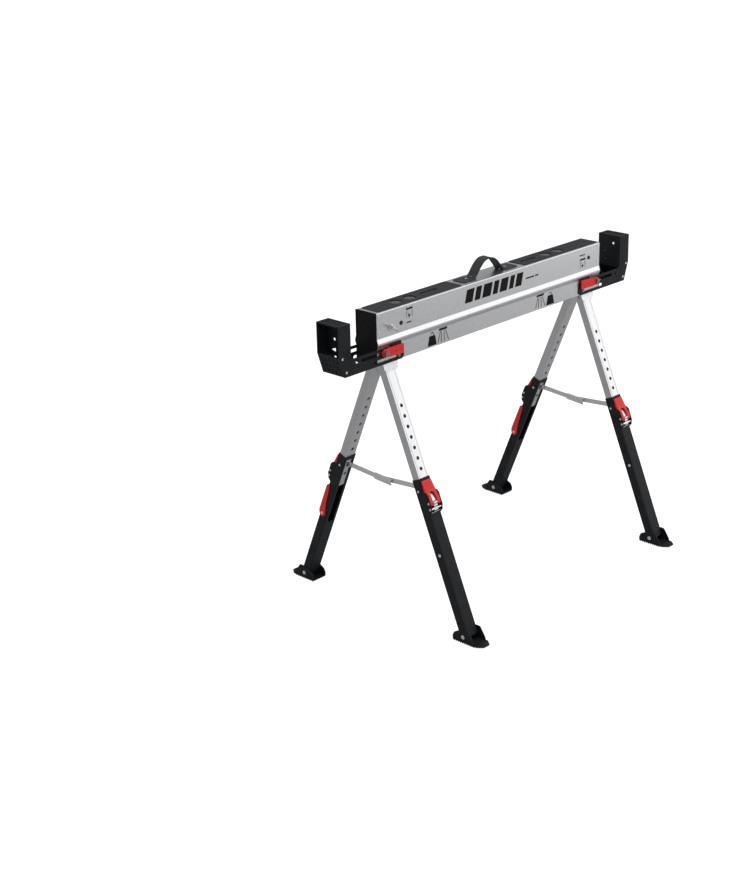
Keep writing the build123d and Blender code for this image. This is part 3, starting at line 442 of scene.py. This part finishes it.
def rounded_outline(length, width, radius, steps=6):
    """Corner-rounded rectangle about the origin, as (x, y) points."""
    points = []
    for quarter, (sx, sy) in enumerate(((1, 1), (-1, 1), (-1, -1), (1, -1))):
        for k in range(steps + 1):
            a = math.pi / 2 * (quarter + k / steps)
            x = sx * (length / 2 - radius) + radius * math.cos(a)
            points.append((x, sy * (width / 2 - radius) + radius * math.sin(a)))
    return points


handle = bmesh.new()
strap_half, strap_wide, strap_thick = 0.062, 0.030, 0.0023
pad_at, pad_long, pad_wide, pad_corner = 0.083, 0.052, 0.043, 0.008
shares = ((0, 0), (0.13, 0.15), (0.29, 0.41), (0.47, 0.69), (0.66, 0.89), (0.84, 0.98))
rise = strap_top - strap_floor
curve = [(strap_half * (a - 1), 0, rise * b) for a, b in shares] + [(0, 0, rise)]
curve += [(-x, y, z) for x, y, z in reversed(curve[:-1])]
section = []
for sign in (1, -1):
    profile = ((0.5, 0.0), (0.42, 0.0), (0.38, 0.22), (-0.38, 0.22), (-0.42, 0.0), (-0.5, 0.0))
    for w, d in profile:
        depth = -d * strap_thick if sign > 0 else (d - 1) * strap_thick
        section.append((sign * w * strap_wide, depth))
rings = []
STRAP_STEPS = 72
for k in range(STRAP_STEPS + 1):
    share = k / STRAP_STEPS
    spot = between(curve, share)
    along = between(curve, min(1, share + 0.01)) - between(curve, max(0, share - 0.01))
    out = Vector((-along.z, 0, along.x)).normalized()
    ring = [spot + Vector((0, w, strap_floor)) + out * d for w, d in section]
    rings.append([(p.x, p.y, max(p.z, strap_floor + 0.0002)) for p in ring])
add_loft(handle, rings)
for sign in (-1, 1):
    stack = ((0, 0.0), (0, 0.0019), (0.0006, 0.0024), (0.0030, 0.0024), (0.0037, 0.0019))
    pad = []
    for i, h in stack:
        outline = rounded_outline(pad_long - 2 * i, pad_wide - 2 * i, pad_corner - i)
        pad.append([(sign * pad_at + x, y, strap_floor + h) for x, y in outline])
    add_loft(handle, pad)
finished("carry_strap", handle, strap_plastic, "beam", 0.0004, ["carry_handle"])
dress(["strap_rivets"], rivet_steel)

# Push buttons: round black plastic stems that stand just out of the front panel, one near each end.
# Each slides in its hole in the beam.
button_plastic = moulded("button_plastic", (0.005, 0.005, 0.0055), (0.04, 0.04, 0.045), (0.35, 0.5))
dress(["push_button_left", "push_button_right"], button_plastic)

# Wing bolt: chromed steel, with a stepped collar and two swept wings.
# It is screwed through the front panel near the left end.
chrome = bare_steel(
    "chrome_plate", (0.72, 0.73, 0.75), (0.90, 0.91, 0.92), (0.06, 0.18), spangle=0.1, depth=0.000004
)
joint_of = {joint["name"]: joint for joint in frame["joints"]}
bolt_at = Vector(joint_of["wing_bolt_turn"]["pos_m"])
panel = -0.0349
wings = bmesh.new()
collar = (
    (0.0, 0.0075), (0.0018, 0.0075), (0.0025, 0.0068), (0.0025, 0.0052), (0.009, 0.0048), (0.0102, 0.0036),
)
shank = ((0.001, 0.004), (-0.018, 0.004))
for steps in (collar, shank):
    rings = [[(bolt_at.x + x, panel - y, bolt_at.z + z) for x, z in disc(0, 0, r)] for y, r in steps]
    add_loft(wings, rings)
for sign in (-1, 1):
    turn = Matrix.Translation((bolt_at.x, panel, bolt_at.z)) @ Matrix.Rotation(math.radians(40), 4, "Y")
    rings = []
    for reach, out, long, thick in (
        (0.003, 0.0065, 0.0034, 0.0030), (0.007, 0.0085, 0.0042, 0.0026), (0.011, 0.0112, 0.0054, 0.0023),
        (0.0145, 0.0135, 0.0050, 0.0021), (0.0168, 0.0148, 0.0030, 0.0016),
    ):
        loop = [(a * 6, b * 6) for a, b in disc(0, 0, 1 / 6, 18)]
        rings.append([(sign * (reach + 0.35 * a * long), -out + a * long, b * thick) for a, b in loop])
    add_loft(wings, rings, turn)
finished("wing_screw", wings, chrome, "wing_bolt", 0.0003, ["wing_bolt"])

# Cross rods and guide pins: blackened steel. They pass through the sides of the beam
# and the slots in both arms of each end support.
dark_bolt = bare_steel("dark_bolt", (0.16, 0.16, 0.165), (0.34, 0.34, 0.35), (0.25, 0.4), spangle=0.2)
dress(["clamp_rods", "guide_pins"], dark_bolt)

# End supports: pressed steel posts and arms in black powder coat, which slide on the rods and pins. Each
# has a rubber pad and a tread plate, held by rivets.
black_coat = moulded(
    "black_coat", (0.0045, 0.005, 0.006), (0.09, 0.095, 0.105), (0.42, 0.56), edge=0.5, grain=700, gleam=0.14
)
rubber = moulded("pad_rubber", (0.009, 0.009, 0.010), (0.06, 0.06, 0.063), (0.6, 0.8), grain=1500)
for end_name in ("left", "right"):
    dress([f"support_frame_{end_name}", f"tread_plate_{end_name}"], black_coat)
    dress([f"support_pad_{end_name}"], rubber)
    dress([f"support_rivets_{end_name}"], rivet_steel)

# Clamp levers: red moulded plastic, with a round boss and two arched grip ridges.
# Each turns on the front end of a clamp rod.
red_plastic = moulded(
    "red_plastic", (0.80, 0.024, 0.018), (0.92, 0.10, 0.075), (0.34, 0.5), edge=0.6, grain=600, coat=0.08
)


def ridge(shape, points, radius, place=Matrix.Identity(4), normal=Vector((0, 1, 0))):
    """A low rounded ridge along a row of points on a face whose normal is given."""
    rings = []
    for k, point in enumerate(points):
        after, before = Vector(points[min(k + 1, len(points) - 1)]), Vector(points[max(k - 1, 0)])
        side = (after - before).normalized().cross(normal)
        end_scale = 0.35 if k in (0, len(points) - 1) else 1.0
        ring = []
        for a in range(10):
            turn = 2 * math.pi * a / 10
            spoke = side * math.cos(turn) + normal * math.sin(turn) * 0.7
            ring.append(Vector(point) + radius * end_scale * spoke)
        rings.append(ring)
    add_loft(shape, rings, place)


for end_name, up in (("left", 1), ("right", -1)):
    sign = 1 if end_name == "left" else -1
    pivot = Vector(joint_of[f"{end_name}_clamp_turn"]["pos_m"])
    low_corner, high_corner = (Vector(c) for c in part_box(f"clamp_lever_{end_name}"))
    front, back = low_corner.y, high_corner.y
    lever = bmesh.new()
    place = Matrix.Translation((pivot.x, 0, pivot.z)) @ Matrix.Diagonal((sign, 1, up, 1))
    boss = [(10 * math.cos(math.radians(a)), 10 * math.sin(math.radians(a))) for a in range(65, 296, 14)]
    grip = [(12, -11), (66.5, -14), (66.5, 10.5), (18, 11)]
    outline = [(x / 1000, z / 1000) for x, z in boss + grip]
    rings = []
    for y, thin in ((back, 0), (front, 1)):
        rings.append([(x, y + thin * 0.003 * max(0, (x - 0.014) / 0.0525), z) for x, z in outline])
    add_loft(lever, rings, place)
    slope = 0.003 / 0.0525
    for centre, radius in ((0.028, 0.0085), (0.048, 0.0085)):
        arch = []
        for k in range(13):
            a = math.pi * (0.08 + 0.84 * k / 12)
            x = centre + radius * math.cos(a)
            arch.append((x, front + slope * (x - 0.014) - 0.0001, -0.0065 + 1.25 * radius * math.sin(a)))
        ridge(lever, arch, 0.0011, place)
    ridge(lever, [(0.0625, front + 0.0027, z / 1000) for z in range(-11, 9, 2)], 0.0011, place)
    turns = [0.35 * a for a in range(18)]
    ring_points = [(0.0072 * math.cos(a), front - 0.0001, 0.0072 * math.sin(a)) for a in turns]
    ridge(lever, ring_points, 0.0009, place)
    finished(
        f"clamp_grip_{end_name}", lever, red_plastic, f"{end_name}_clamp_lever",
        0.0011, [f"clamp_lever_{end_name}"],
    )

# Folding hinges: galvanised steel leaves fixed under the beam, and yokes that carry the legs.
# They turn on plain steel pins.
hinge_steel = bare_steel(
    "hinge_steel", (0.70, 0.70, 0.71), (0.86, 0.86, 0.87), (0.3, 0.5), stretch=(300, 300, 20)
)
for end_name in ("left", "right"):
    dress([f"hinge_mount_{end_name}", f"hinge_yoke_{end_name}"], hinge_steel)
    dress([f"splay_pins_{end_name}"], rivet_steel)
dress(["fold_pins"], rivet_steel)

# Legs: each has a cast zinc head on a splay pin, a plated steel inner tube in it, and a black coated outer
# tube that slides on the inner one. Cross pins carry the latch, the spring and the black swivel foot.
head_zinc = bare_steel(
    "head_zinc", (0.60, 0.60, 0.60), (0.78, 0.78, 0.78), (0.40, 0.58), stretch=(300, 300, 300), spangle=0.5
)
lean = math.radians(22.46)
for side, sign in (("front", -1), ("rear", 1)):
    tube_steel = bare_steel(
        f"tube_steel_{side}", (0.54, 0.54, 0.55), (0.72, 0.72, 0.73), (0.26, 0.42),
        sign * -lean, (900, 900, 9), 0.25,
    )
    for end_name in ("left", "right"):
        dress([f"leg_head_{side}_{end_name}"], head_zinc)
        dress([f"inner_tube_{side}_{end_name}"], tube_steel)
        dress([f"outer_tube_{side}_{end_name}", f"foot_{side}_{end_name}"], black_coat)
        dress([f"leg_pins_{side}_{end_name}"], rivet_steel)

# Height latches: on each leg a red lever forks round a steel catch and turns on the latch pin. The catch is
# a curved galvanised tongue with a plated roll at its foot, three spring bands and a steel strip below.
catch_steel = bare_steel("catch_steel", (0.46, 0.46, 0.47), (0.72, 0.72, 0.73), (0.16, 0.32), spangle=0.15)


def leg_place(side, joint_name):
    """Matrix from (across, outward, up the leg) about a joint of a leg to its place."""
    spot = Vector(joint_of[joint_name]["pos_m"])
    sign = 1 if side == "rear" else -1
    up = Vector((0, -sign * math.sin(lean), math.cos(lean)))
    outward = Vector((0, sign * math.cos(lean), math.sin(lean)))
    return Matrix.Translation(spot) @ Matrix(((1, 0, 0), tuple(outward), tuple(up))).transposed().to_4x4()


LATCH_STATIONS = (  # up the leg, outer face, inner face, half width; millimetres from the latch pin
    (-7.5, 2.5, -2.5, 18.2), (-5, 3.9, -4.0, 18.6), (0, 4.7, -5.0, 18.6), (8, 4.2, -5.5, 18.6),
    (14, 3.5, -6.0, 18.5), (20, 2.0, -6.4, 18.3), (22, 1.5, -6.6, 18.2), (24, 0.9, -6.8, 18.1),
    (26, 0.3, -7.0, 18.0), (28, -0.2, -7.2, 17.9), (31, -1.0, -7.6, 17.8), (36, -1.8, -8.1, 17.5),
    (43, -2.7, -8.1, 17.1), (50, -3.6, -8.1, 16.7), (56, -4.4, -8.1, 16.2), (58.5, -5.3, -8.1, 15.4),
)
FORK_HALF, FORK_TOP = 8.0, 28.0
THUMB_RIBS, THUMB_FOOT, THUMB_PITCH, THUMB_SLOPE = 5, 35, 4.3, 0.128
CATCH_ROLLS = (  # up the leg, outward, radius, half width; the roll and then the three bands
    (-1.5, 0.6, 4.4, 6.8), (-8.6, -0.2, 3.0, 7.0), (-14.2, -1.2, 2.5, 7.0), (-19.4, -2.4, 2.5, 7.0),
)
for end_name in ("left", "right"):
    for side in ("front", "rear"):
        place = leg_place(side, f"{end_name}_{side}_latch_turn")
        lever = bmesh.new()
        for half in (-1, 1):
            rings = []
            for up, outer, inner, wide in LATCH_STATIONS:
                over = up - (FORK_TOP - FORK_HALF)
                gap = FORK_HALF if over <= 0 else math.sqrt(max(0.0, FORK_HALF ** 2 - over ** 2))
                corners = ((wide, outer), (gap, outer), (gap, inner), (wide, inner))
                rings.append([(half * x / 1000, n / 1000, up / 1000) for x, n in corners])
            add_loft(lever, rings, place)
        for k in range(THUMB_RIBS):
            up = THUMB_FOOT + THUMB_PITCH * k
            outer = -1.8 - THUMB_SLOPE * (up - 36)
            row = [(x / 1000, (outer - 0.1) / 1000, up / 1000) for x in range(-12, 13, 3)]
            ridge(lever, row, 0.0009, place)
        bmesh.ops.remove_doubles(lever, verts=lever.verts, dist=1e-6)
        back = place.inverted()
        inner_walls = [f for f in lever.faces if all(abs((back @ v.co).x) < 1e-6 for v in f.verts)]
        bmesh.ops.delete(lever, geom=inner_walls, context="FACES")
        finished(
            f"latch_grip_{side}_{end_name}", lever, red_plastic, f"{end_name}_{side}_latch",
            0.0008, [f"latch_lever_{side}_{end_name}"],
        )
        catch = bmesh.new()
        tongue = ((27, -6.6), (22, -4.2), (17, -2.2), (12, -0.6), (7, 0.5), (2, 1.0))
        rings = []
        for up, n in tongue:
            corners = ((-6.2, n), (6.2, n), (6.2, n - 1.4), (-6.2, n - 1.4))
            rings.append([(x / 1000, m / 1000, up / 1000) for x, m in corners])
        add_loft(catch, rings, place)
        for up, n, radius, wide in CATCH_ROLLS:
            thin = radius - 0.7
            steps = ((-wide, thin), (-wide + 0.7, radius), (wide - 0.7, radius), (wide, thin))
            rings = []
            for x, r in steps:
                rings.append([(x / 1000, (n + a) / 1000, (up + b) / 1000) for a, b in disc(0, 0, r, 20)])
            add_loft(catch, rings, place)
        shelf = ((-18.6, -7.9), (18.6, -7.9), (18.6, -3.4), (-18.6, -3.4))
        rings = [[(x / 1000, n / 1000, up / 1000) for x, n in shelf] for up in (-25.2, -24.0)]
        add_loft(catch, rings, place)
        body_name = f"{end_name}_{side}_lower"
        finished(f"latch_catch_{side}_{end_name}", catch, catch_steel, body_name, 0.0004)

# Stow hooks: red moulded U-shaped levers over the outer tubes of the rear legs. Each turns on two side
# rivets, and its crown has a raised rib along it.
HOOK_FLOOR = 9.65  # millimetres outward from the rivets, where the underside of the crown clears the tube
HOOK_TIP = 88      # millimetres up the leg from the rivets, where the crown bends in
for end_name in ("left", "right"):
    place = leg_place("rear", f"{end_name}_stow_turn")
    hook = bmesh.new()
    crown = (
        (14, 13.2), (18, 13.4), (30, 13.4), (50, 13.4), (70, 13.4), (86, 13.2), (90.5, 10.5), (91.5, 8.0),
    )
    for half in (-1, 1):
        cheek = [(-10, 0), (-8.5, -5), (-5, -8.7), (0, -10), (5, -8.7), (9.5, -4)]
        cheek += [(13, 4), (13, 88), (10, 92), (4, 91), (2, 84), (-3, 30)]
        rings = [[(half * x / 1000, n / 1000, up / 1000) for n, up in cheek] for x in (20.9, 22.9)]
        add_loft(hook, rings, place)
    rows = []
    for up, n in crown:
        outer = ((-22.4, n - 1.2), (-20.4, n - 0.1), (-14, n), (14, n), (20.4, n - 0.1), (22.4, n - 1.2))
        loop = outer + ((20, n - 3.2), (-20, n - 3.2))
        if up < HOOK_TIP:
            loop = [(x, max(m, HOOK_FLOOR)) for x, m in loop]
        rows.append([(x / 1000, m / 1000, up / 1000) for x, m in loop])
    add_loft(hook, rows, place)
    rib = [(0, 13.3 / 1000, up / 1000) for up in range(34, 70, 3)]
    ridge(hook, rib, 0.0016, place)
    finished(
        f"stow_grip_{end_name}", hook, red_plastic, f"{end_name}_stow_hook",
        0.0006, [f"stow_hook_{end_name}"],
    )

# Spreaders: two galvanised flat bars between the legs of each end, on studs in the lugs of the inner tubes,
# with a sleeve at the middle.
for end_name in ("left", "right"):
    dress([f"spreader_rear_{end_name}", f"spreader_front_{end_name}"], hinge_steel)
